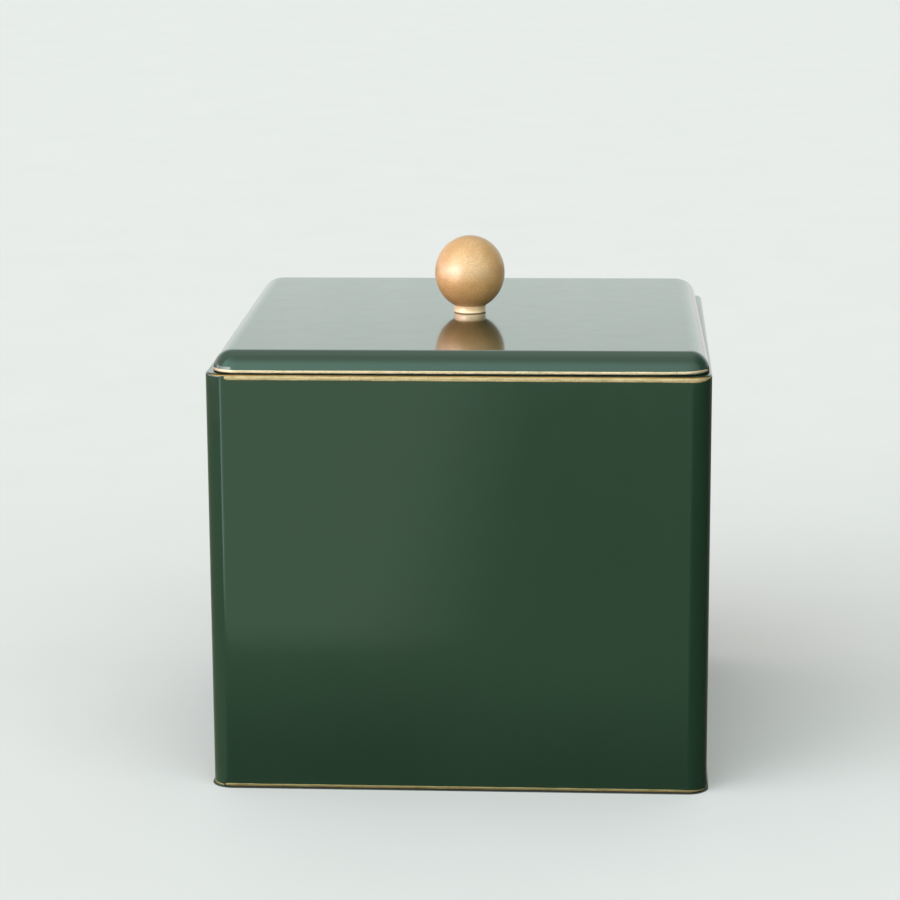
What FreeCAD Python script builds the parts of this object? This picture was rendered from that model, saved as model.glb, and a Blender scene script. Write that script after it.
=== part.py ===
import FreeCAD, Part
import math
import os
import re

import Sketcher

# Square coffee tin with a lift-off lid and a ball knob.
#
# Millimetres, +Z up. The origin is the middle of the foot that the tin stands
# on, and the front face is at -Y. The tin is folded from thin sheet: a wrapped
# wall with a hemmed foot and a turned-in mouth, and a pressed floor held in the
# hem. The lid is a pressed cap with a locating collar inside it and a ball knob
# that is screwed on from below.

DIMENSIONS = {
    # the tin
    "body_width": 150.0,
    "body_height": 128.0,
    "body_corner": 6.0,
    "sheet": 0.6,
    "ledge_width": 3.6,
    "mouth_depth": 8.0,
    "mouth_bend": 0.8,
    "hem_height": 2.6,
    "foot_bend": 0.7,
    "slip": 0.05,
    "seam_width": 6.0,
    "seam_thick": 0.9,
    "seam_line_width": 0.4,
    "seam_line_depth": 0.2,
    "bead_width": 118.0,
    "bead_corner": 10.0,
    "bead_rise": 0.8,
    # the lid
    "lid_gap": 0.25,
    "lid_turn": 0.6,
    "lid_inset": 1.35,
    "lid_height": 6.1,
    "lid_rounding": 6.0,
    "lid_corner": 7.5,
    "collar_play": 1.2,
    "collar_reach": 12.0,
    "collar_flange": 6.0,
    "collar_corner": 3.0,
    "collar_bend": 2.6,
    # the knob
    "ball_width": 22.1,
    "ball_height": 23.4,
    "ball_centre": 12.7,
    "neck_diameter": 10.2,
    "neck_waist": 0.15,
    "neck_bevel": 0.3,
    "bore_diameter": 4.3,
    "thread_diameter": 4.0,
    "thread_slip": 0.05,
    "thread_depth": 9.0,
    "screw_reach": 8.0,
    "washer_diameter": 12.0,
    "washer_thick": 0.8,
    "head_diameter": 8.0,
    "head_height": 2.4,
    "head_rounding": 1.0,
    "slot_width": 1.2,
    "slot_depth": 1.1,
}

# two lengths closer than this are the same
NEAR = 1e-4


# ---------------------------------------------------------------- the sheet


def make_sheet(doc, dimensions):
    """Writes the driving dimensions into a spreadsheet, one alias to a cell."""
    sheet = doc.addObject("Spreadsheet::Sheet", "Dims")
    for row, (alias, value) in enumerate(dimensions.items(), start=1):
        sheet.set(f"A{row}", alias)
        sheet.set(f"B{row}", str(value))
        sheet.setAlias(f"B{row}", alias)
    doc.recompute()
    return sheet


def in_sheet(formula):
    """Turns words such as 'body_width / 2' into a formula on the sheet's cells."""
    return re.sub(r"[a-z_]+", lambda word: "Dims." + word[0] if word[0] in DIMENSIONS else word[0], formula)


def number(formula):
    """Value of a formula with the dimensions as they stand."""
    cell = doc.getObject("Dims")
    return float(cell.evalExpression(in_sheet(formula)))


# ---------------------------------------------------------------- sketches


def origin_plane(body, role):
    """The body's own origin plane with this role."""
    return next(item for item in body.Origin.OriginFeatures if item.Role == role)


def new_sketch(body, name, role, lift="0"):
    """A sketch on one of the body's own planes, lifted along its normal."""
    sketch = body.newObject("Sketcher::SketchObject", name)
    sketch.AttachmentSupport = (origin_plane(body, role), [""])
    sketch.MapMode = "FlatFace"
    sketch.setExpression(".AttachmentOffset.Base.z", in_sheet(lift))
    return sketch


def bind(sketch, constraint, formula, name):
    """Adds a driving constraint under a name and ties it to the sheet."""
    index = sketch.addConstraint(constraint)
    sketch.renameConstraint(index, name)
    sketch.setExpression(f"Constraints.{name}", in_sheet(formula))


def rounded_square(sketch, half, corner):
    """A square about the origin with round corners; half and corner are formulas."""
    reach = number(half)
    radius = number(corner)
    flat = reach - radius
    sides = []
    arcs = []
    for quarter in range(4):
        angle = quarter * math.pi / 2
        turn = FreeCAD.Rotation(FreeCAD.Vector(0, 0, 1), math.degrees(angle))
        start = turn.multVec(FreeCAD.Vector(reach, -flat, 0))
        end = turn.multVec(FreeCAD.Vector(reach, flat, 0))
        centre = turn.multVec(FreeCAD.Vector(flat, flat, 0))
        circle = Part.Circle(centre, FreeCAD.Vector(0, 0, 1), radius)
        sides.append(sketch.addGeometry(Part.LineSegment(start, end), False))
        arcs.append(sketch.addGeometry(Part.ArcOfCircle(circle, angle, angle + math.pi / 2), False))
    for quarter in range(4):
        side = sides[quarter]
        arc = arcs[quarter]
        following = sides[(quarter + 1) % 4]
        upright = quarter % 2 == 0
        sketch.addConstraint(Sketcher.Constraint("Vertical" if upright else "Horizontal", side))
        sketch.addConstraint(Sketcher.Constraint("Tangent", side, 2, arc, 1))
        sketch.addConstraint(Sketcher.Constraint("Tangent", arc, 2, following, 1))
        distance = "DistanceX" if upright else "DistanceY"
        ends = (-1, 1, side, 1) if quarter < 2 else (side, 1, -1, 1)
        bind(sketch, Sketcher.Constraint(distance, *ends, reach), half, f"half_{quarter}")
    for arc in arcs[1:]:
        sketch.addConstraint(Sketcher.Constraint("Equal", arcs[0], arc))
    bind(sketch, Sketcher.Constraint("Radius", arcs[0], radius), corner, "corner")


def circle_at_origin(sketch, diameter, name):
    """A circle about the sketch's origin, its diameter a formula."""
    size = number(diameter)
    circle = Part.Circle(FreeCAD.Vector(0, 0, 0), FreeCAD.Vector(0, 0, 1), size / 2)
    index = sketch.addGeometry(circle, False)
    sketch.addConstraint(Sketcher.Constraint("Coincident", index, 3, -1, 1))
    bind(sketch, Sketcher.Constraint("Diameter", index, size), diameter, name)


def pin_point(sketch, index, end, across, along, label):
    """Ties one end of a line to the two formulas of its point."""
    for kind, formula in (("DistanceX", across), ("DistanceY", along)):
        value = number(formula)
        constraint = Sketcher.Constraint(kind, -1, 1, index, end, value)
        bind(sketch, constraint, formula, f"{kind[-1].lower()}_{label}")


def polygon(sketch, corners):
    """A closed outline through corners, each a pair of formulas."""
    points = [FreeCAD.Vector(number(across), number(along), 0) for across, along in corners]
    lines = []
    for start, end in zip(points, points[1:] + points[:1]):
        lines.append(sketch.addGeometry(Part.LineSegment(start, end), False))
    for line, following in zip(lines, lines[1:] + lines[:1]):
        sketch.addConstraint(Sketcher.Constraint("Coincident", line, 2, following, 1))
    for order, (line, (across, along)) in enumerate(zip(lines, corners)):
        pin_point(sketch, line, 1, across, along, order)


# ---------------------------------------------------------------- features


def new_body(label, lift="0", turned=False):
    """A body whose label names its file; lift raises it and turned sets the lid's turn."""
    body = doc.addObject("PartDesign::Body", label)
    body.Label = label
    body.setExpression(".Placement.Base.z", in_sheet(lift))
    if turned:
        body.setExpression(".Placement.Rotation.Angle", in_sheet("lid_turn"))
    return body


def add(body, kind, name, profile):
    """A sketch-based feature on the body."""
    feature = body.newObject(f"PartDesign::{kind}", name)
    feature.Profile = (profile, [""])
    profile.Visibility = False
    return feature


def pad(body, name, profile, length, reverse=False):
    feature = add(body, "Pad", name, profile)
    feature.setExpression("Length", in_sheet(length))
    feature.Reversed = reverse
    doc.recompute()
    return feature


def pocket(body, name, profile, length, reverse=False):
    """Cuts the profile and checks that the cut removed something."""
    before = body.Tip.Shape.Volume
    feature = add(body, "Pocket", name, profile)
    feature.setExpression("Length", in_sheet(length))
    feature.Reversed = reverse
    doc.recompute()
    assert feature.Shape.Volume < before - NEAR, f"{name} cuts nothing"
    return feature


def sweep_round(body, name, profile, path):
    """Sweeps a folded section round a rounded square."""
    feature = add(body, "AdditivePipe", name, profile)
    feature.Spine = (path, [f"Edge{edge}" for edge in range(1, 9)])
    feature.Mode = "Frenet"
    path.Visibility = False
    doc.recompute()
    return feature


def revolve(body, name, profile):
    feature = add(body, "Revolution", name, profile)
    feature.ReferenceAxis = (profile, ["V_Axis"])
    feature.Angle = 360.0
    doc.recompute()
    return feature


def edges_at(feature, height, half):
    """Names of the level edges at this height that run round a square reaching out to half."""
    found = []
    for index, edge in enumerate(feature.Shape.Edges, start=1):
        box = edge.BoundBox
        level = abs(box.ZMin - height) < NEAR and abs(box.ZMax - height) < NEAR
        middle = edge.valueAt((edge.FirstParameter + edge.LastParameter) / 2)
        if edge.Curve.TypeId == "Part::GeomCircle":
            reach = abs(edge.Curve.Center.x) + edge.Curve.Radius
        else:
            reach = max(abs(middle.x), abs(middle.y))
        if level and abs(reach - half) < NEAR:
            found.append(f"Edge{index}")
    return found


def fillet(body, name, base, edges, radius):
    assert len(edges) == 8, f"{name} needs four sides and four corners, and has {len(edges)} edges"
    feature = body.newObject("PartDesign::Fillet", name)
    feature.Base = (base, edges)
    feature.setExpression("Radius", in_sheet(radius))
    doc.recompute()
    return feature


# ---------------------------------------------------------------- the tin


def build_body_wall():
    """Wrapped wall: hemmed foot, turned-in mouth ledge with a lip, and a lap seam at the back."""
    body = new_body("body_wall")
    path = new_sketch(body, "WallPath", "XY_Plane")
    rounded_square(path, "body_width / 2", "body_corner")
    section = new_sketch(body, "WallSection", "XZ_Plane")
    outside = "body_width / 2"
    polygon(
        section,
        [
            (outside, "0"),
            (outside, "body_height"),
            (f"{outside} - ledge_width", "body_height"),
            (f"{outside} - ledge_width", "body_height - mouth_depth"),
            (f"{outside} - ledge_width + sheet", "body_height - mouth_depth"),
            (f"{outside} - ledge_width + sheet", "body_height - sheet"),
            (f"{outside} - sheet", "body_height - sheet"),
            (f"{outside} - sheet", "sheet"),
            (f"{outside} - 2 * sheet - 2 * slip", "sheet"),
            (f"{outside} - 2 * sheet - 2 * slip", "hem_height"),
            (f"{outside} - 3 * sheet - 2 * slip", "hem_height"),
            (f"{outside} - 3 * sheet - 2 * slip", "0"),
        ],
    )
    wall = sweep_round(body, "FoldedWall", section, path)

    rim = edges_at(wall, number("body_height"), number(outside))
    mouth = fillet(body, "MouthBend", wall, rim, "mouth_bend")
    base = edges_at(mouth, 0.0, number(outside))
    fillet(body, "FootBend", mouth, base, "foot_bend")

    seam = new_sketch(body, "SeamStrip", "XY_Plane", "hem_height + 2 * sheet")
    inside = "body_width / 2 - sheet"
    polygon(
        seam,
        [
            ("- seam_width / 2", f"{inside} - seam_thick"),
            ("seam_width / 2", f"{inside} - seam_thick"),
            ("seam_width / 2", inside),
            ("- seam_width / 2", inside),
        ],
    )
    pad(body, "LapSeam", seam, "body_height - mouth_depth - hem_height - 3 * sheet")

    line = new_sketch(body, "SeamLineOutline", "XY_Plane", "foot_bend")
    polygon(
        line,
        [
            ("seam_width / 2", "body_width / 2 - seam_line_depth"),
            ("seam_width / 2 + seam_line_width", "body_width / 2 - seam_line_depth"),
            ("seam_width / 2 + seam_line_width", "body_width / 2 + sheet"),
            ("seam_width / 2", "body_width / 2 + sheet"),
        ],
    )
    pocket(body, "SeamLine", line, "body_height - mouth_bend - foot_bend", reverse=True)
    return body


def build_base_panel():
    """Pressed floor: a plate with a flange turned down into the foot's hem, and a raised bead."""
    body = new_body("base_panel")
    half = "body_width / 2 - sheet - slip"
    corner = "body_corner - sheet - slip"
    outline = new_sketch(body, "PanelOutline", "XY_Plane", "sheet + slip")
    rounded_square(outline, half, corner)
    pad(body, "Panel", outline, "hem_height - slip")
    hollow = new_sketch(body, "FlangeInside", "XY_Plane", "sheet + slip")
    rounded_square(hollow, f"{half} - sheet", f"{corner} - sheet")
    pocket(body, "FlangeHollow", hollow, "hem_height - sheet - slip", reverse=True)

    raised = new_sketch(body, "BeadOutline", "XY_Plane", "hem_height + sheet")
    rounded_square(raised, "bead_width / 2", "bead_corner")
    pad(body, "Bead", raised, "bead_rise")
    under = new_sketch(body, "BeadInside", "XY_Plane", "hem_height")
    rounded_square(under, "bead_width / 2 - sheet", "bead_corner - sheet")
    pocket(body, "BeadHollow", under, "bead_rise", reverse=True)
    return body


# ---------------------------------------------------------------- the lid

LID_FOOT = "body_height + lid_gap"
LID_TOP = "body_height + lid_gap + lid_height"
LID_HALF = "body_width / 2 - lid_inset"


def build_lid_cap():
    """Pressed cap with fully rounded top edges, hollow below, with a hole for the screw."""
    body = new_body("lid_cap", LID_FOOT, turned=True)
    outline = new_sketch(body, "CapOutline", "XY_Plane")
    rounded_square(outline, LID_HALF, "lid_corner")
    pad(body, "CapBlock", outline, "lid_height")
    inside = f"{LID_HALF} - sheet"
    ceiling = "lid_height - sheet"
    hollow = new_sketch(body, "CapInside", "XY_Plane")
    rounded_square(hollow, inside, "lid_corner - sheet")
    cup = pocket(body, "CapHollow", hollow, ceiling, reverse=True)

    inner = edges_at(cup, number(ceiling), number(inside))
    lined = fillet(body, "InnerRounding", cup, inner, "lid_rounding - sheet")
    outer = edges_at(lined, number("lid_height"), number(LID_HALF))
    fillet(body, "OuterRounding", lined, outer, "lid_rounding")

    hole = new_sketch(body, "CapHoleOutline", "XY_Plane", "lid_height")
    circle_at_origin(hole, "bore_diameter", "bore")
    pocket(body, "CapHole", hole, "2 * sheet")
    return body


def build_lid_collar():
    """Locating collar: an upright band with its top edge turned in under the cap."""
    body = new_body("lid_collar", LID_FOOT, turned=True)
    half = "body_width / 2 - ledge_width - collar_play"
    top = "lid_height - sheet"
    path = new_sketch(body, "CollarPath", "XY_Plane")
    rounded_square(path, half, "collar_corner + collar_flange")
    section = new_sketch(body, "CollarSection", "XZ_Plane")
    polygon(
        section,
        [
            (half, "- collar_reach"),
            (half, top),
            (f"{half} - collar_flange", top),
            (f"{half} - collar_flange", f"{top} - sheet"),
            (f"{half} - sheet", f"{top} - sheet"),
            (f"{half} - sheet", "- collar_reach"),
        ],
    )
    band = sweep_round(body, "FoldedBand", section, path)
    outer = edges_at(band, number(top), number(half))
    bend = fillet(body, "OuterBend", band, outer, "collar_bend")
    inner = edges_at(bend, number(f"{top} - sheet"), number(f"{half} - sheet"))
    fillet(body, "InnerBend", bend, inner, "collar_bend - sheet")
    return body


# ---------------------------------------------------------------- the knob

# height of the ball's flat seat over the lid's top, where the neck meets the ball
NECK_HEIGHT = "ball_centre - ball_height / 2 * sqrt(1 - (neck_diameter / ball_width) ^ 2)"


def build_knob_neck():
    """Turned sleeve between the lid and the ball, bevelled at its foot and a touch waisted."""
    body = new_body("knob_neck", LID_TOP, turned=True)
    section = new_sketch(body, "NeckSection", "XZ_Plane")
    wide = "neck_diameter / 2"
    narrow = f"{wide} - neck_waist"
    polygon(
        section,
        [
            ("bore_diameter / 2", "0"),
            (f"{wide} - neck_bevel", "0"),
            (wide, "neck_bevel"),
            (narrow, f"({NECK_HEIGHT}) / 3"),
            (narrow, f"({NECK_HEIGHT}) * 2 / 3"),
            (wide, NECK_HEIGHT),
            ("bore_diameter / 2", NECK_HEIGHT),
        ],
    )
    revolve(body, "Neck", section)
    return body


def build_knob_ball():
    """Ball, a little taller than wide, with a flat seat and a blind tapped hole for the screw."""
    body = new_body("knob_ball", LID_TOP, turned=True)
    section = new_sketch(body, "BallSection", "XZ_Plane")
    wide = number("ball_width / 2")
    tall = number("ball_height / 2")
    centre = FreeCAD.Vector(0, number("ball_centre"), 0)
    pole = FreeCAD.Vector(0, centre.y + tall, 0)
    seat = FreeCAD.Vector(number("neck_diameter / 2"), number(NECK_HEIGHT), 0)
    on_axis = FreeCAD.Vector(0, seat.y, 0)
    ellipse = Part.Ellipse(pole, FreeCAD.Vector(-wide, centre.y, 0), centre)
    seat_angle = math.pi + math.asin(seat.x / wide)
    arc = section.addGeometry(Part.ArcOfEllipse(ellipse, seat_angle, 2 * math.pi), False)
    section.exposeInternalGeometry(arc)
    upright = arc + 1  # the ellipse's own two diameters, as construction lines
    level = arc + 2
    axis = section.addGeometry(Part.LineSegment(pole, on_axis), False)
    flat = section.addGeometry(Part.LineSegment(on_axis, seat), False)
    section.addConstraint(Sketcher.Constraint("Coincident", arc, 2, axis, 1))
    section.addConstraint(Sketcher.Constraint("Coincident", axis, 2, flat, 1))
    section.addConstraint(Sketcher.Constraint("Coincident", flat, 2, arc, 1))
    section.addConstraint(Sketcher.Constraint("PointOnObject", arc, 3, -2))
    section.addConstraint(Sketcher.Constraint("Vertical", upright))
    section.addConstraint(Sketcher.Constraint("PointOnObject", axis, 1, -2))
    section.addConstraint(Sketcher.Constraint("PointOnObject", axis, 2, -2))
    section.addConstraint(Sketcher.Constraint("Horizontal", flat))
    bind(section, Sketcher.Constraint("Distance", upright, 2 * tall), "ball_height", "height")
    bind(section, Sketcher.Constraint("Distance", level, 2 * wide), "ball_width", "width")
    centre_place = Sketcher.Constraint("DistanceY", -1, 1, arc, 3, centre.y)
    bind(section, centre_place, "ball_centre", "centre_height")
    seat_size = Sketcher.Constraint("DistanceX", flat, 1, flat, 2, seat.x)
    bind(section, seat_size, "neck_diameter / 2", "seat_radius")
    revolve(body, "Ball", section)

    hole = new_sketch(body, "TappedHoleOutline", "XY_Plane", NECK_HEIGHT)
    circle_at_origin(hole, "thread_diameter", "thread")
    pocket(body, "TappedHole", hole, "thread_depth", reverse=True)
    return body


def build_knob_washer():
    """Flat washer under the lid's top, round the screw."""
    body = new_body("knob_washer", f"{LID_TOP} - sheet", turned=True)
    ring = new_sketch(body, "WasherOutline", "XY_Plane")
    circle_at_origin(ring, "washer_diameter", "outside")
    circle_at_origin(ring, "bore_diameter", "inside")
    pad(body, "Washer", ring, "washer_thick", reverse=True)
    return body


def build_knob_screw():
    """Slotted pan-head screw, head down inside the lid, its shank up into the ball."""
    body = new_body("knob_screw", f"{LID_TOP} - sheet - washer_thick", turned=True)
    section = new_sketch(body, "ScrewSection", "XZ_Plane")
    shank = "thread_diameter / 2 - thread_slip"
    tip = f"washer_thick + sheet + {NECK_HEIGHT} + screw_reach"
    head = "head_diameter / 2"
    polygon(
        section,
        [
            ("0", "- head_height"),
            (f"{head} - head_rounding", "- head_height"),
            (head, "- head_height + head_rounding"),
            (head, "0"),
            (shank, "0"),
            (shank, f"{tip} - head_rounding / 2"),
            (f"{shank} - head_rounding / 2", tip),
            ("0", tip),
        ],
    )
    revolve(body, "Screw", section)

    slot = new_sketch(body, "SlotOutline", "XY_Plane", "- head_height")
    polygon(
        slot,
        [
            (f"- {head} - 1", "- slot_width / 2"),
            (f"{head} + 1", "- slot_width / 2"),
            (f"{head} + 1", "slot_width / 2"),
            (f"- {head} - 1", "slot_width / 2"),
        ],
    )
    pocket(body, "Slot", slot, "slot_depth", reverse=True)
    return body


# ---------------------------------------------------------------- the model


def check(doc, bodies):
    """Stops if any object failed or any piece has no sound solid."""
    for item in doc.Objects:
        bad = {"Invalid", "Error"} & set(item.State)
        if bad:
            raise RuntimeError(f"{item.Name}: {item.State}")
    for body in bodies:
        shape = body.Shape
        if shape.isNull() or not shape.isValid() or len(shape.Solids) != 1:
            raise RuntimeError(f"{body.Label} has no single valid solid")


def export(bodies):
    os.makedirs("parts", exist_ok=True)
    for body in bodies:
        body.Shape.exportStep(f"parts/{body.Label}.step")
        box = body.Shape.BoundBox
        print(
            f"{body.Label:12s} volume {body.Shape.Volume:9.1f}  "
            f"x {box.XMin:8.3f} {box.XMax:8.3f}  y {box.YMin:8.3f} {box.YMax:8.3f}  "
            f"z {box.ZMin:8.3f} {box.ZMax:8.3f}"
        )


doc = FreeCAD.newDocument("coffee_tin")
make_sheet(doc, DIMENSIONS)
bodies = [
    build_body_wall(),
    build_base_panel(),
    build_lid_cap(),
    build_lid_collar(),
    build_knob_neck(),
    build_knob_ball(),
    build_knob_washer(),
    build_knob_screw(),
]
doc.recompute()
check(doc, bodies)
export(bodies)
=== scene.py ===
import math
from functools import partial

import bmesh
import bpy
from mathutils import Matrix, Vector, noise


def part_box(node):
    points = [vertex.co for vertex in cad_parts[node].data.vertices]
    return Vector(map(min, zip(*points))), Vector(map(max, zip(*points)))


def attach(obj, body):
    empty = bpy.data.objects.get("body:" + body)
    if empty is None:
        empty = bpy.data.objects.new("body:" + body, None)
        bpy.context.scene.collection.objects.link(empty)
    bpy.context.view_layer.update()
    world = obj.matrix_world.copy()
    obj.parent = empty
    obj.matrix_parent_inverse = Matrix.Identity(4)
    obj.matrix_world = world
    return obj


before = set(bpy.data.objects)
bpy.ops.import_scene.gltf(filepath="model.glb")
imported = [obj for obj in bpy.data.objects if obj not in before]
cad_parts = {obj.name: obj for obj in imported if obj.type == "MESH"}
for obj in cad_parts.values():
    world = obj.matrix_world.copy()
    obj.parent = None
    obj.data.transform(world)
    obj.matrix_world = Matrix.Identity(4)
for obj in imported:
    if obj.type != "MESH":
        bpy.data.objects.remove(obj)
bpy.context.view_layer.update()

MM = 0.001

# ---------------------------------------------------------------- sizes, from the frame

_low, WALL_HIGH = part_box("body_wall")
CAP_LOW, CAP_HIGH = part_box("lid_cap")

WALL_HALF = WALL_HIGH.x
WALL_TOP = WALL_HIGH.z
WALL_CORNER = 6.0 * MM
MOUTH_BEND = 0.8 * MM
FOOT_BEND = 0.7 * MM
SHEET = 0.6 * MM
LEDGE = 3.6 * MM

WALL_FLAT = WALL_HALF - WALL_CORNER

LID_TURN = math.radians(0.6)
LID_INSET = 1.35 * MM
CAP_CORNER = 7.5 * MM
CAP_ROUNDING = 6.0 * MM
CAP_HALF = WALL_HALF - LID_INSET
CAP_FOOT = CAP_LOW.z
CAP_ROUND_START = CAP_HIGH.z - CAP_ROUNDING

# ---------------------------------------------------------------- camera

LENS_MM = 116.2
CAMERA_PLACE = Vector((0.0491, -0.9112, 0.2902))
CAMERA_PAN = math.radians(3.50)
CAMERA_TILT = math.radians(12.42)
CAMERA_ROLL = math.radians(-0.305)


def add_camera():
    """The photograph's camera: a little to the right of the tin and above it."""
    data = bpy.data.cameras.new("camera")
    data.lens = LENS_MM
    data.sensor_width = 36.0
    camera = bpy.data.objects.new("camera", data)
    bpy.context.scene.collection.objects.link(camera)
    pan = Matrix.Rotation(CAMERA_PAN, 4, "Z")
    tilt = Matrix.Rotation(math.pi / 2 - CAMERA_TILT, 4, "X")
    roll = Matrix.Rotation(CAMERA_ROLL, 4, "Z")
    camera.matrix_world = Matrix.Translation(CAMERA_PLACE) @ pan @ tilt @ roll
    bpy.context.scene.camera = camera


# ---------------------------------------------------------------- node helpers


class Graph:
    """A node tree, with one call for each node."""

    def __init__(self, tree):
        self.tree = tree
        self.tree.nodes.clear()

    def node(self, kind, inputs=None, **settings):
        made = self.tree.nodes.new(kind)
        for key, value in settings.items():
            setattr(made, key, value)
        for key, value in (inputs or {}).items():
            self.feed(made.inputs[key], value)
        return made

    def feed(self, socket, value):
        if isinstance(value, bpy.types.NodeSocket):
            self.tree.links.new(value, socket)
        else:
            socket.default_value = value

    def math(self, operation, first, second=0.0):
        return self.node("ShaderNodeMath", {0: first, 1: second}, operation=operation).outputs[0]

    def times(self, *values):
        product = values[0]
        for value in values[1:]:
            product = self.math("MULTIPLY", product, value)
        return product

    def place(self, stretch=(1.0, 1.0, 1.0)):
        """Position in the frame, in metres, scaled along each axis."""
        where = self.node("ShaderNodeTexCoord").outputs["Object"]
        if stretch == (1.0, 1.0, 1.0):
            return where
        return self.node("ShaderNodeMapping", {"Vector": where, "Scale": stretch}).outputs[0]

    def axes(self, vector):
        return self.node("ShaderNodeSeparateXYZ", {0: vector}).outputs

    def noise(self, size_mm, detail=2.0, roughness=0.5, stretch=(1.0, 1.0, 1.0)):
        """Smooth noise from 0 to 1 whose features are about size_mm across."""
        inputs = {
            "Vector": self.place(stretch),
            "Scale": 1.0 / (size_mm * MM),
            "Detail": detail,
            "Roughness": roughness,
        }
        return self.node("ShaderNodeTexNoise", inputs).outputs["Fac"]

    def cells(self, size_mm, output="Distance"):
        inputs = {"Vector": self.place(), "Scale": 1.0 / (size_mm * MM)}
        return self.node("ShaderNodeTexVoronoi", inputs).outputs[output]

    def fade(self, value, low, high, start=0.0, end=1.0):
        """Maps low..high to start..end, smoothly, and holds outside."""
        inputs = {"Value": value, "From Min": low, "From Max": high, "To Min": start, "To Max": end}
        return self.node("ShaderNodeMapRange", inputs, interpolation_type="SMOOTHSTEP").outputs[0]

    def between(self, value, low, high, soft):
        """1 between low and high, fading to 0 over soft on each side."""
        rise = self.fade(value, low - soft, low)
        fall = self.fade(value, high, high + soft, 1.0, 0.0)
        return self.times(rise, fall)

    def mix(self, share, first, second):
        """Colour between first and second."""
        mixer = self.node("ShaderNodeMix", data_type="RGBA")
        self.feed(mixer.inputs["Factor"], share)
        self.feed(mixer.inputs[6], first)
        self.feed(mixer.inputs[7], second)
        return mixer.outputs[2]

    def bump(self, height, depth_mm, normal=None):
        inputs = {"Height": height, "Distance": depth_mm * MM, "Strength": 1.0}
        if normal is not None:
            inputs["Normal"] = normal
        return self.node("ShaderNodeBump", inputs).outputs[0]

    def principled(self, **inputs):
        shader = self.node("ShaderNodeBsdfPrincipled")
        for key, value in inputs.items():
            self.feed(shader.inputs[key.replace("_", " ")], value)
        return shader.outputs[0]

    def mix_shaders(self, share, first, second):
        return self.node("ShaderNodeMixShader", {0: share, 1: first, 2: second}).outputs[0]


def make_material(name, shade, *details):
    """A material whose surface is what shade(graph, *details) returns."""
    material = bpy.data.materials.new(name)
    material.use_nodes = True
    graph = Graph(material.node_tree)
    surface = shade(graph, *details)
    graph.node("ShaderNodeOutputMaterial", {"Surface": surface})
    return material


def colour(red, green, blue):
    return (red, green, blue, 1.0)


# ---------------------------------------------------------------- materials

LACQUER_DARK = colour(0.0078, 0.0190, 0.0096)
LACQUER_LIGHT = colour(0.0103, 0.0242, 0.0128)
LACQUER_NIB = colour(0.10, 0.13, 0.10)
LACQUER_IOR = 1.36


def lacquer(graph):
    """Dark green stoving enamel: orange peel, slow waves in the sheet and a few dust nibs."""
    tone = graph.mix(graph.noise(45.0, detail=3.0), LACQUER_DARK, LACQUER_LIGHT)
    streak = graph.noise(4.0, detail=3.0, stretch=(1.0, 1.0, 0.06))
    tone = graph.mix(graph.fade(streak, 0.45, 0.80, 0.0, 0.30), tone, LACQUER_LIGHT)
    nibs = graph.fade(graph.cells(26.0), 0.006, 0.012, 1.0, 0.0)
    tone = graph.mix(graph.times(nibs, 0.4), tone, LACQUER_NIB)
    normal = graph.bump(graph.noise(55.0, detail=1.0), 0.06)
    normal = graph.bump(graph.noise(1.7, detail=1.5, stretch=(1.0, 1.0, 0.6)), 0.011, normal)
    normal = graph.bump(graph.noise(0.5, detail=1.0), 0.0018, normal)
    normal = graph.bump(nibs, 0.02, normal)
    return graph.principled(
        Base_Color=tone,
        Roughness=graph.fade(graph.noise(8.0, detail=4.0), 0.3, 0.7, 0.12, 0.17),
        IOR=LACQUER_IOR,
        Coat_Weight=1.0,
        Coat_Roughness=0.05,
        Coat_IOR=LACQUER_IOR,
        Normal=normal,
        Coat_Normal=normal,
    )


def tinplate(graph):
    """Bare rolled tinplate: dull silver with rolling lines, faint spangle and a few stains."""
    spangle = graph.node("ShaderNodeRGBToBW", {0: graph.cells(4.0, output="Color")}).outputs[0]
    lines = graph.noise(0.5, detail=2.0, stretch=(0.04, 1.0, 1.0))
    shade = graph.math("ADD", graph.times(spangle, 0.35), graph.times(lines, 0.65))
    tone = graph.mix(shade, colour(0.34, 0.335, 0.32), colour(0.48, 0.475, 0.46))
    stain = graph.fade(graph.noise(30.0, detail=5.0), 0.55, 0.80, 0.0, 0.4)
    return graph.principled(
        Base_Color=graph.mix(stain, tone, colour(0.28, 0.25, 0.21)),
        Metallic=1.0,
        Roughness=graph.fade(shade, 0.2, 0.8, 0.36, 0.50),
        Normal=graph.bump(lines, 0.003),
    )


def depth_in_wall(graph, x, y):
    """How far a point lies inside the wall's outline; negative outside it."""
    across = graph.math("SUBTRACT", graph.math("ABSOLUTE", x), WALL_FLAT)
    along = graph.math("SUBTRACT", graph.math("ABSOLUTE", y), WALL_FLAT)
    square_x = graph.math("POWER", graph.math("MAXIMUM", across, 0.0), 2.0)
    square_y = graph.math("POWER", graph.math("MAXIMUM", along, 0.0), 2.0)
    round_part = graph.math("SQRT", graph.math("ADD", square_x, square_y))
    flat_part = graph.math("MINIMUM", graph.math("MAXIMUM", across, along), 0.0)
    return graph.math("SUBTRACT", WALL_CORNER, graph.math("ADD", round_part, flat_part))


def bare_side_of_wall(graph):
    """1 on the bare inner side of the wall's sheet, 0 on its painted side, ledge and lip."""
    x, y, z = graph.axes(graph.place())
    depth = depth_in_wall(graph, x, y)
    behind_paint = graph.math("GREATER_THAN", depth, SHEET / 2)
    before_lip = graph.math("LESS_THAN", depth, LEDGE - SHEET / 4)
    below_ledge = graph.math("LESS_THAN", z, WALL_TOP - SHEET / 2)
    return graph.times(behind_paint, before_lip, below_ledge)


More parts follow.
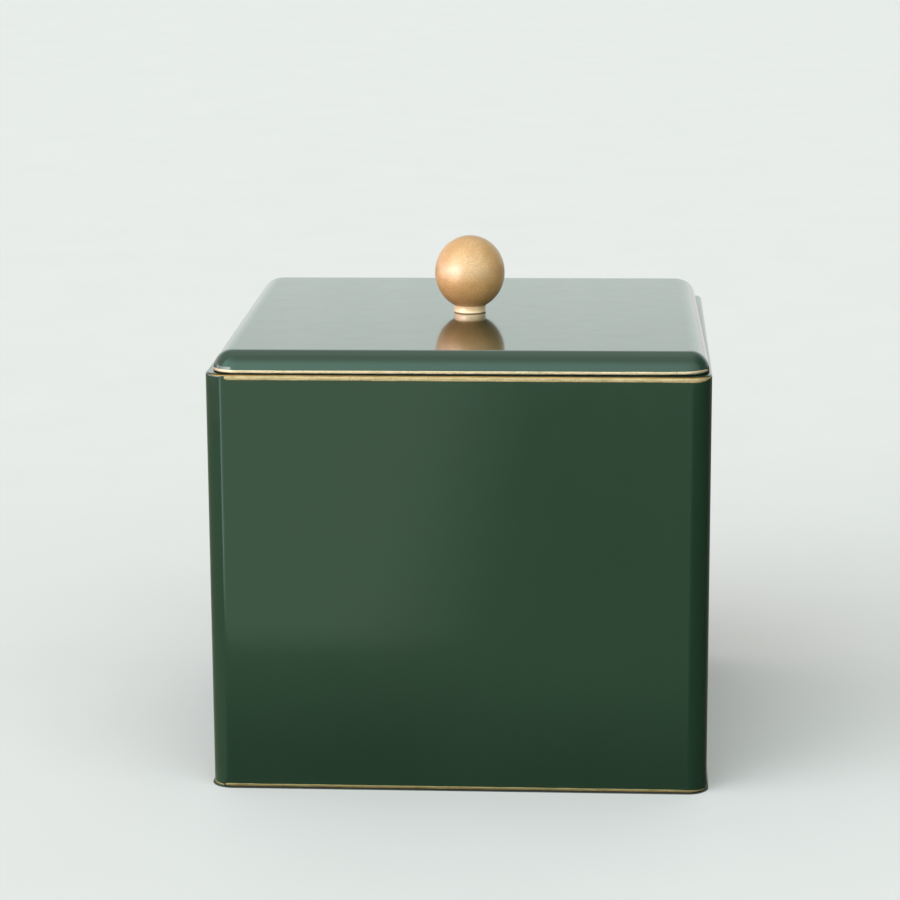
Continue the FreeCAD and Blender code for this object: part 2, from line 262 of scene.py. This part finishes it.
def bare_side_of_lid(graph):
    """1 where the cap's sheet faces the space under it, 0 on its painted side."""
    centre = Vector((0.0, 0.0, CAP_FOOT - 20.0 * MM))
    outward = graph.node("ShaderNodeVectorMath", {0: graph.place(), 1: centre}, operation="SUBTRACT")
    normal = graph.node("ShaderNodeNewGeometry").outputs["Normal"]
    inputs = {0: normal, 1: outward.outputs[0]}
    facing = graph.node("ShaderNodeVectorMath", inputs, operation="DOT_PRODUCT")
    return graph.math("LESS_THAN", facing.outputs["Value"], 0.0)


def bare_side_of_base(graph):
    """0 where a face looks down, 1 elsewhere: the base panel is painted below and bare inside."""
    normal = graph.node("ShaderNodeNewGeometry").outputs["Normal"]
    return graph.math("GREATER_THAN", graph.axes(normal)["Z"], -0.2)


def lacquered_sheet(graph, bare_side):
    """Sheet that is tinplate where bare_side gives 1 and lacquer elsewhere."""
    return graph.mix_shaders(bare_side(graph), lacquer(graph), tinplate(graph))


def gold_paint(graph, dark, light, grain_mm, metallic, roughness):
    """Metallic gold paint, brushed on by hand: grain, cloudy patches and a soft shine."""
    grain = graph.noise(grain_mm, detail=3.0, roughness=0.7)
    patches = graph.fade(graph.noise(9.0 * grain_mm, detail=3.0), 0.35, 0.75, 0.0, 0.5)
    tone = graph.mix(graph.fade(grain, 0.28, 0.72), dark, light)
    return graph.principled(
        Base_Color=graph.mix(patches, tone, dark),
        Metallic=metallic,
        Roughness=graph.fade(grain, 0.3, 0.7, roughness + 0.05, roughness - 0.05),
        Coat_Weight=1.0,
        Coat_Roughness=0.33,
        Coat_IOR=1.75,
        Normal=graph.bump(grain, 0.030 * grain_mm),
    )


def gold_line(graph, dark, light, stroke_stretch):
    """A hand-painted gold line: brush streaks along the stroke and a few thin places."""
    streaks = graph.noise(0.25, detail=3.0, stretch=stroke_stretch)
    speckle = graph.fade(graph.noise(0.4, detail=4.0, roughness=0.75), 0.53, 0.64, 0.0, 0.75)
    tone = graph.mix(graph.fade(streaks, 0.30, 0.70), dark, light)
    return graph.principled(
        Base_Color=graph.mix(speckle, tone, colour(0.11, 0.10, 0.05)),
        Metallic=0.55,
        Roughness=0.40,
        Normal=graph.bump(streaks, 0.008),
    )


def gap_shade(graph, dark, light, stroke_stretch):
    """Painted shade: a dull near-black strip, streaked along its line, standing for the shadow in
    the gap under the lid.
    """
    streaks = graph.noise(0.3, detail=3.0, stretch=stroke_stretch)
    return graph.principled(
        Base_Color=graph.mix(streaks, dark, light),
        Roughness=0.9,
        Specular_IOR_Level=0.1,
        Normal=graph.bump(streaks, 0.01),
    )


def zinc(graph):
    mottle = graph.noise(0.8, detail=3.0)
    return graph.principled(
        Base_Color=graph.mix(mottle, colour(0.50, 0.51, 0.52), colour(0.68, 0.69, 0.70)),
        Metallic=1.0,
        Roughness=0.32,
        Normal=graph.bump(mottle, 0.004),
    )


# dark tone, light tone, grain in millimetres, metallic share, roughness
BALL_GOLD = (colour(0.48, 0.192, 0.063), colour(0.74, 0.32, 0.122), 0.45, 0.20, 0.60)
NECK_GOLD = (colour(0.84, 0.42, 0.235), colour(0.96, 0.53, 0.32), 0.35, 0.18, 0.50)


def dress(node, material):
    """Gives a CAD node its material."""
    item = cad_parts[node]
    item.data.materials.clear()
    item.data.materials.append(material)


# ---------------------------------------------------------------- painted lines

# a stroke's height above the sheet, and how far its underside is sunk into it
PAINT_CROWN = 0.045 * MM
PAINT_ROOT = -0.06 * MM
STATION_GAP = 0.4 * MM
POINTS_ACROSS = 7


def wall_section(height):
    """Inset, height and tilt of the wall's outer side, by distance up its face."""
    shoulder = WALL_TOP - MOUTH_BEND
    if height > shoulder:
        tilt = (height - shoulder) / MOUTH_BEND
        return MOUTH_BEND * (1 - math.cos(tilt)), shoulder + MOUTH_BEND * math.sin(tilt), tilt
    if height < FOOT_BEND:
        tilt = (height - FOOT_BEND) / FOOT_BEND
        return FOOT_BEND * (1 - math.cos(tilt)), FOOT_BEND * (1 + math.sin(tilt)), tilt
    return 0.0, height, 0.0


def cap_section(height):
    """Inset, height and tilt of the lid cap's outer side, by distance up its face."""
    if height < CAP_ROUND_START:
        return 0.0, height, 0.0
    tilt = (height - CAP_ROUND_START) / CAP_ROUNDING
    inset = CAP_ROUNDING * (1 - math.cos(tilt))
    return inset, CAP_ROUND_START + CAP_ROUNDING * math.sin(tilt), tilt


def outline(half, corner, reach, turn):
    """Point and outward direction at a distance along one side of the square, from its middle.

    Beyond the flat stretch the outline goes on round the corner's arc.
    """
    flat = half - corner
    over = max(abs(reach) - flat, 0.0) / corner
    side = math.copysign(1.0, reach)
    way = Vector((side * math.sin(over), -math.cos(over)))
    centre = Vector((max(-flat, min(flat, reach)), -flat))
    spin = Matrix.Rotation(turn, 2)
    return spin @ (centre + way * corner), spin @ way


def wobble(point, size, seed):
    """Noise from about -1 to 1 that varies over size along a line."""
    return noise.noise(Vector((point.x / size, point.y / size, seed)))


def ribbon(stations, section):
    """A thin strip of paint. Each station is (point, way, low edge, high edge)."""
    build = bmesh.new()
    rings = []
    for point, way, low, high in stations:
        ring = []
        for index in range(POINTS_ACROSS):
            share = index / (POINTS_ACROSS - 1)
            crown = 1.0 - (2.0 * share - 1.0) ** 4
            ring.append((low + (high - low) * share, PAINT_CROWN * (1.1 * crown - 0.1)))
        ring.append((high, PAINT_ROOT))
        ring.append((low, PAINT_ROOT))
        corners = []
        for height, lift in ring:
            inset, z, tilt = section(height)
            flat = point + way * (lift * math.cos(tilt) - inset)
            corners.append(build.verts.new((flat.x, flat.y, z + lift * math.sin(tilt))))
        rings.append(corners)
    build.faces.new(list(reversed(rings[0])))
    build.faces.new(rings[-1])
    for near, far in zip(rings, rings[1:]):
        for index in range(len(near)):
            after = (index + 1) % len(near)
            build.faces.new((near[index], far[index], far[after], near[after]))
    bmesh.ops.recalc_face_normals(build, faces=build.faces)
    return build


def add_piece(name, build, material, body, turn=0.0):
    """Makes a smooth-shaded piece from a bmesh and fastens it to a body."""
    build.transform(Matrix.Rotation(turn, 4, "Z"))
    data = bpy.data.meshes.new(name)
    build.to_mesh(data)
    build.free()
    data.polygons.foreach_set("use_smooth", [True] * len(data.polygons))
    data.materials.append(material)
    piece = bpy.data.objects.new(name, data)
    bpy.context.scene.collection.objects.link(piece)
    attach(piece, body)


def brush_end(distance, length):
    """Width share of a stroke near its end: 0 at the end, rounding to 1 after length."""
    share = max(0.0, min(1.0, distance / length))
    return math.sqrt(1.0 - (1.0 - share) ** 2)


def stroke(half, corner, turn, start, end, edges):
    """Stations of one brush stroke along a side; edges(point, reach) gives its low and high edge."""
    count = round((end - start) / STATION_GAP)
    stations = []
    for step in range(count + 1):
        reach = start + (end - start) * step / count
        point, way = outline(half, corner, reach, turn)
        low, high = edges(point, reach)
        stations.append((point, way, low, high))
    return stations


def top_stripe_edges(point, reach, start, end, seed):
    """Under the rim: full width along the side, tapering up to the rim at its far end."""
    high = WALL_TOP - 0.40 * MM
    worn = wobble(point, 9 * MM, seed) * 0.10 * MM + wobble(point, 1.3 * MM, seed) * 0.04 * MM
    low = WALL_TOP - 1.70 * MM + worn
    taper = max(0.0, (reach - (end - 6.5 * MM)) / (6.5 * MM))
    low += (high - low) * 0.92 * taper ** 1.5
    middle = (low + high) / 2
    width = (high - low) * brush_end(reach - start, 0.9 * MM) * brush_end(end - reach, 0.5 * MM)
    return middle - width / 2, middle + width / 2


def lid_stripe_edges(point, reach, start, end, seed):
    """Along the cap's lower edge, worn below and lifting away at both corners."""
    rise = max(0.0, (start + 22 * MM - reach) / (22 * MM)) * 0.03 * MM
    rise += max(0.0, (reach - (end - 16 * MM)) / (16 * MM)) * 0.30 * MM
    worn = wobble(point, 5 * MM, seed) * 0.08 * MM + wobble(point, 0.9 * MM, seed) * 0.06 * MM
    low = CAP_FOOT + 0.01 * MM + rise + max(0.0, worn)
    high = CAP_FOOT + 0.89 * MM + rise + wobble(point, 11 * MM, seed + 3) * 0.07 * MM
    middle = (low + high) / 2
    width = (high - low) * brush_end(reach - start, 2.0 * MM) * brush_end(end - reach, 2.5 * MM)
    return middle - width / 2, middle + width / 2


def base_stripe_edges(point, reach, start, end, seed):
    """Just above the foot, thinning round the right corner."""
    taper = max(0.0, (reach - (end - 9 * MM)) / (9 * MM))
    low = 0.45 * MM + wobble(point, 8 * MM, seed) * 0.06 * MM
    high = 1.32 * MM - 0.45 * MM * taper + wobble(point, 7 * MM, seed + 3) * 0.08 * MM
    middle = (low + high) / 2
    width = (high - low) * brush_end(reach - start, 1.5 * MM) * brush_end(end - reach, 1.0 * MM)
    return middle - width / 2, middle + width / 2


def rim_line_edges(point, reach, start, end, seed):
    """On the bend of the mouth, thinning away towards both ends."""
    middle = WALL_TOP - 0.33 * MM
    width = 0.46 * MM + wobble(point, 6 * MM, seed) * 0.06 * MM
    width *= brush_end(reach - start, 5.0 * MM) * brush_end(end - reach, 5.0 * MM)
    return middle - width / 2, middle + width / 2


def gap_shade_edges(point, reach, start, end, seed):
    """Painted shade on the ledge's outer edge, in the gap under the lid's foot."""
    middle = WALL_TOP + 0.16 * MM
    width = 0.50 * MM + wobble(point, 4 * MM, seed) * 0.05 * MM
    width *= brush_end(reach - start, 4.0 * MM) * brush_end(end - reach, 4.0 * MM)
    return middle - width / 2, middle + width / 2


# dark and light tone of each paint; the gold lines are one gold paint in lit and shaded copies:
# painted lit and paler on the lid, half shaded under the lid's overhang, painted shaded and duller
# at the foot
LIT_GOLD = (colour(0.50, 0.31, 0.18), colour(0.77, 0.465, 0.345))
HALF_SHADED_GOLD = (colour(0.385, 0.235, 0.113), colour(0.585, 0.355, 0.21))
SHADED_GOLD = (colour(0.195, 0.117, 0.046), colour(0.354, 0.22, 0.092))
GOLD_IN_LID_SHADE = (colour(0.26, 0.11, 0.03), colour(0.44, 0.21, 0.07))
# near-black tones of the painted shade in the gap under the lid
GAP_SHADE_TONES = (colour(0.010, 0.009, 0.005), colour(0.022, 0.020, 0.012))
# noise scales that draw streaks out along a stroke
ALONG_X = (0.05, 1.0, 1.0)
ALONG_Y = (1.0, 0.05, 1.0)


class Line:
    """One painted line of the tin or the lid.

    long_ends says how far, in millimetres, its front and back strokes run past the flat
    stretch at their start and end. short_ends says it for the right and left strokes, and
    is None where there are none.
    """

    def __init__(self, name, shade, paint, edges, body, slot, long_ends, short_ends=None):
        self.name = name
        self.shade = shade
        self.paint = paint
        self.edges = edges
        self.on_lid = body == "lid"
        self.body = body
        self.slot = slot
        self.overruns = (long_ends, short_ends)

    def add(self, index, side, stretch):
        half, corner = (CAP_HALF, CAP_CORNER) if self.on_lid else (WALL_HALF, WALL_CORNER)
        section = cap_section if self.on_lid else wall_section
        before, after = self.overruns[index % 2]
        start = corner - half - before * MM
        end = half - corner + after * MM
        edges = partial(self.edges, start=start, end=end, seed=10.0 * index)
        stations = stroke(half, corner, index * math.pi / 2, start, end, edges)
        name = f"{self.name}_{side}"
        material = make_material(f"{name}_paint", self.shade, *self.paint, stretch)
        turn = LID_TURN if self.on_lid else 0.0
        add_piece(name, ribbon(stations, section), material, self.body, turn)


# The three gold stripes share one paint; their different tones are painted light and shade, not
# different gilts.
TOP_STRIPE = Line(
    "top_stripe", gold_line, HALF_SHADED_GOLD, top_stripe_edges, "tin", "gold_gilt",
    long_ends=(-0.1, 8.0), short_ends=(-1.0, -1.0),
)
LID_STRIPE = Line(
    "lid_stripe", gold_line, LIT_GOLD, lid_stripe_edges, "lid", "gold_gilt",
    long_ends=(10.3, 8.6), short_ends=(-1.0, -3.0),
)
BASE_STRIPE = Line(
    "base_stripe", gold_line, SHADED_GOLD, base_stripe_edges, "tin", "gold_gilt",
    long_ends=(2.2, 7.0), short_ends=(2.2, 7.0),
)
# The rim line is real gold paint over the mouth's bend; its deep copper tone is painted shade from
# the lid's overhang.
RIM_LINE = Line(
    "rim_line", gold_line, GOLD_IN_LID_SHADE, rim_line_edges, "tin", "copper_gilt",
    long_ends=(5.5, 5.5),
)
# painted shade: a dark strip where the lid's foot rests on the ledge
RIM_GAP_SHADE = Line(
    "rim_gap_shade", gap_shade, GAP_SHADE_TONES, gap_shade_edges, "tin", "green_lacquer",
    long_ends=(4.5, 5.5),
)
LINES = (TOP_STRIPE, LID_STRIPE, BASE_STRIPE, RIM_LINE, RIM_GAP_SHADE)


def add_painted_lines():
    """One stroke a side for each line that has one there, front first and then round to the right.
    """
    for index, side in enumerate(("front", "right", "back", "left")):
        stretch = ALONG_X if index % 2 == 0 else ALONG_Y
        for line in LINES:
            if line.overruns[index % 2] is not None:
                line.add(index, side, stretch)


# ---------------------------------------------------------------- stage and light

FLOOR_REACH = 12.0
FLOOR_GAP = 0.05 * MM

PALE_FLOOR = (colour(0.755, 0.59, 0.63), colour(0.795, 0.622, 0.665))
# painted contact shadow on the floor round the tin's foot
FOOT_SHADOW = colour(0.03, 0.03, 0.03)

# painted reflections: the dark table that the gloss mirrors, and the light on it, as colours of a
# glowing plane that only glossy rays see
TABLE_DARK = colour(0.15, 0.13, 0.12)
TABLE_SHADE = colour(0.04, 0.035, 0.03)
TABLE_SHEEN = colour(0.35, 0.47, 0.32)
FAR_FLOOR = colour(0.75, 0.74, 0.72)
WINDOW_PATCH = colour(0.80, 1.10, 0.80)
WINDOW_STREAK = colour(2.1, 3.1, 2.9)

# the room's light, by direction
WALL_LIGHT = colour(0.80, 0.88, 0.84)
DIM_LIGHT = colour(0.20, 0.31, 0.27)
FRONT_LIGHT = colour(1.85, 2.95, 2.65)
CEILING_LIGHT = colour(0.98, 1.17, 1.04)
WINDOW_LIGHT = colour(10.0, 10.4, 10.8)
WINDOW_EDGE = colour(3.0, 3.2, 3.4)
WINDOW_GLARE = colour(3.0, 3.1, 3.2)


def add_plane(name, height, material):
    build = bmesh.new()
    bmesh.ops.create_grid(build, x_segments=1, y_segments=1, size=FLOOR_REACH)
    data = bpy.data.meshes.new(name)
    build.to_mesh(data)
    build.free()
    data.materials.append(material)
    plane = bpy.data.objects.new(name, data)
    plane.location.z = height
    bpy.context.scene.collection.objects.link(plane)
    return plane


def pale_floor(graph):
    """Plain, matt and pale, with the faintest mottling, and a painted contact shadow where the foot
    stands.
    """
    mottle = graph.noise(60.0, detail=5.0)
    x, y, _z = graph.axes(graph.place())
    # painted contact shadow: darkens the floor just outside the foot's outline
    foot = graph.fade(depth_in_wall(graph, x, y), -0.8 * MM, -0.35 * MM, 0.0, 0.95)
    tone = graph.mix(foot, graph.mix(mottle, *PALE_FLOOR), FOOT_SHADOW)
    return graph.principled(Base_Color=tone, Roughness=0.8)


def azimuth_about(graph, x, y, centre_x, centre_y):
    """Compass direction of a floor point from a spot: 0 in front of it, positive to its right."""
    across = graph.math("SUBTRACT", x, centre_x)
    ahead = graph.math("SUBTRACT", centre_y, y)
    return graph.math("DEGREES", graph.math("ARCTAN2", across, ahead))


def front_light(graph, azimuth):
    """Strength of the pale front light: most from the left, and less and less to the right."""
    from_left = graph.fade(azimuth, -90.0, -68.0)
    past_middle = graph.fade(azimuth, -10.0, 6.0, 1.0, 0.7)
    to_right = graph.fade(azimuth, 5.0, 105.0, 1.0, 0.0)
    return graph.times(from_left, past_middle, to_right)


def table_sheen(graph):
    """Painted reflections: a glowing plane standing for a dark tabletop as glossy surfaces see it,
    with painted shade on its right and the window's glare on its left.
    """
    x, y, _z = graph.axes(graph.place())
    from_left = azimuth_about(graph, x, y, -WALL_FLAT, -WALL_FLAT)
    from_right = azimuth_about(graph, x, y, WALL_FLAT, -WALL_FLAT)
    from_middle = azimuth_about(graph, x, y, 0.0, 0.0)
    length = graph.node("ShaderNodeVectorMath", {0: graph.place()}, operation="LENGTH")
    away = length.outputs["Value"]

    glow = graph.mix(graph.fade(y, -0.22, -0.09), TABLE_SHEEN, TABLE_DARK)
    glow = graph.mix(graph.between(from_right, 20.0, 115.0, 20.0), glow, TABLE_SHADE)
    glow = graph.mix(graph.fade(from_left, -35.0, -30.0, 1.0, 0.0), glow, TABLE_SHEEN)
    glow = graph.mix(graph.fade(from_left, -125.0, -60.0, 0.6, 0.0), glow, TABLE_DARK)
    behind = graph.fade(graph.math("ABSOLUTE", from_middle), 145.0, 160.0)
    glow = graph.mix(graph.times(behind, graph.fade(away, 0.60, 0.78)), glow, FAR_FLOOR)
    far_front = graph.times(front_light(graph, from_middle), graph.fade(away, 0.72, 1.1))
    glow = graph.mix(far_front, glow, FRONT_LIGHT)
    glare = graph.times(graph.between(from_left, -112.0, -36.0, 4.0), graph.fade(away, 0.80, 0.95))
    glow = graph.mix(glare, glow, WINDOW_GLARE)

    patch = graph.times(
        graph.fade(x, -0.052, 0.012, 1.0, 0.0),
        graph.fade(y, -0.256, -0.207, 1.0, 0.0),
        graph.fade(from_left, -31.0, -28.0),
    )
    glow = graph.mix(patch, glow, WINDOW_PATCH)
    streak = graph.times(graph.between(from_left, -31.0, -26.0, 2.5), graph.fade(away, 0.26, 0.42))
    glow = graph.mix(streak, glow, WINDOW_STREAK)
    return graph.node("ShaderNodeEmission", {"Color": glow, "Strength": 1.0}).outputs[0]


def add_floor():
    """What the camera sees and what the tin's lacquer mirrors are two planes in one place."""
    floor = add_plane("floor", 0.0, make_material("pale_floor", pale_floor))
    floor.visible_glossy = False
    sheen = make_material("table_sheen", table_sheen)
    mirrored = add_plane("floor_in_reflections", -FLOOR_GAP, sheen)
    mirrored.visible_camera = False
    mirrored.visible_diffuse = False
    mirrored.visible_shadow = False


def add_world():
    """Soft room light by direction; azimuth 0 is in front of the tin, positive to its right."""
    world = bpy.data.worlds.new("studio")
    bpy.context.scene.world = world
    world.use_nodes = True
    graph = Graph(world.node_tree)
    x, y, z = graph.axes(graph.node("ShaderNodeTexCoord").outputs["Generated"])
    azimuth = graph.math("DEGREES", graph.math("ARCTAN2", x, graph.times(y, -1.0)))
    elevation = graph.math("DEGREES", graph.math("ARCSINE", z))
    bands = graph.node("ShaderNodeTexNoise", {"W": azimuth, "Scale": 0.7}, noise_dimensions="1D")
    light = graph.mix(graph.times(bands.outputs[0], 0.08), WALL_LIGHT, DIM_LIGHT)
    light = graph.mix(graph.between(azimuth, 85.0, 125.0, 25.0), light, DIM_LIGHT)
    behind = graph.fade(graph.math("ABSOLUTE", azimuth), 110.0, 140.0)
    high_behind = graph.times(behind, graph.fade(elevation, 18.0, 30.0, 0.0, 0.6))
    light = graph.mix(high_behind, light, DIM_LIGHT)
    light = graph.mix(front_light(graph, azimuth), light, FRONT_LIGHT)
    light = graph.mix(graph.fade(elevation, 32.0, 78.0), light, CEILING_LIGHT)
    window_head = graph.fade(azimuth, -112.0, -32.0, 7.0, 17.0)
    below_head = graph.math("SUBTRACT", window_head, elevation)
    window = graph.times(
        graph.between(azimuth, -112.0, -32.0, 5.0),
        graph.fade(elevation, -3.0, 0.0),
        graph.fade(below_head, -3.0, 0.0),
    )
    window_light = graph.mix(graph.fade(azimuth, -100.0, -38.0), WINDOW_EDGE, WINDOW_LIGHT)
    light = graph.mix(window, light, window_light)
    back = graph.node("ShaderNodeBackground", {"Color": light, "Strength": 1.0}).outputs[0]
    graph.node("ShaderNodeOutputWorld", {"Surface": back})


def set_view():
    view = bpy.context.scene.view_settings
    view.view_transform = "Standard"
    view.look = "None"
    view.exposure = 0.0


# ---------------------------------------------------------------- the scene

add_camera()
add_world()
add_floor()
set_view()

dress("body_wall", make_material("green_lacquer_wall", lacquered_sheet, bare_side_of_wall))
dress("lid_cap", make_material("green_lacquer_lid", lacquered_sheet, bare_side_of_lid))
dress("base_panel", make_material("green_lacquer_base", lacquered_sheet, bare_side_of_base))
dress("lid_collar", make_material("tinplate_collar", tinplate))
dress("knob_ball", make_material("gold_paint_ball", gold_paint, *BALL_GOLD))
dress("knob_neck", make_material("copper_gold_neck", gold_paint, *NECK_GOLD))
zinc_plate = make_material("zinc_plate", zinc)
dress("knob_washer", zinc_plate)
dress("knob_screw", zinc_plate)
add_painted_lines()
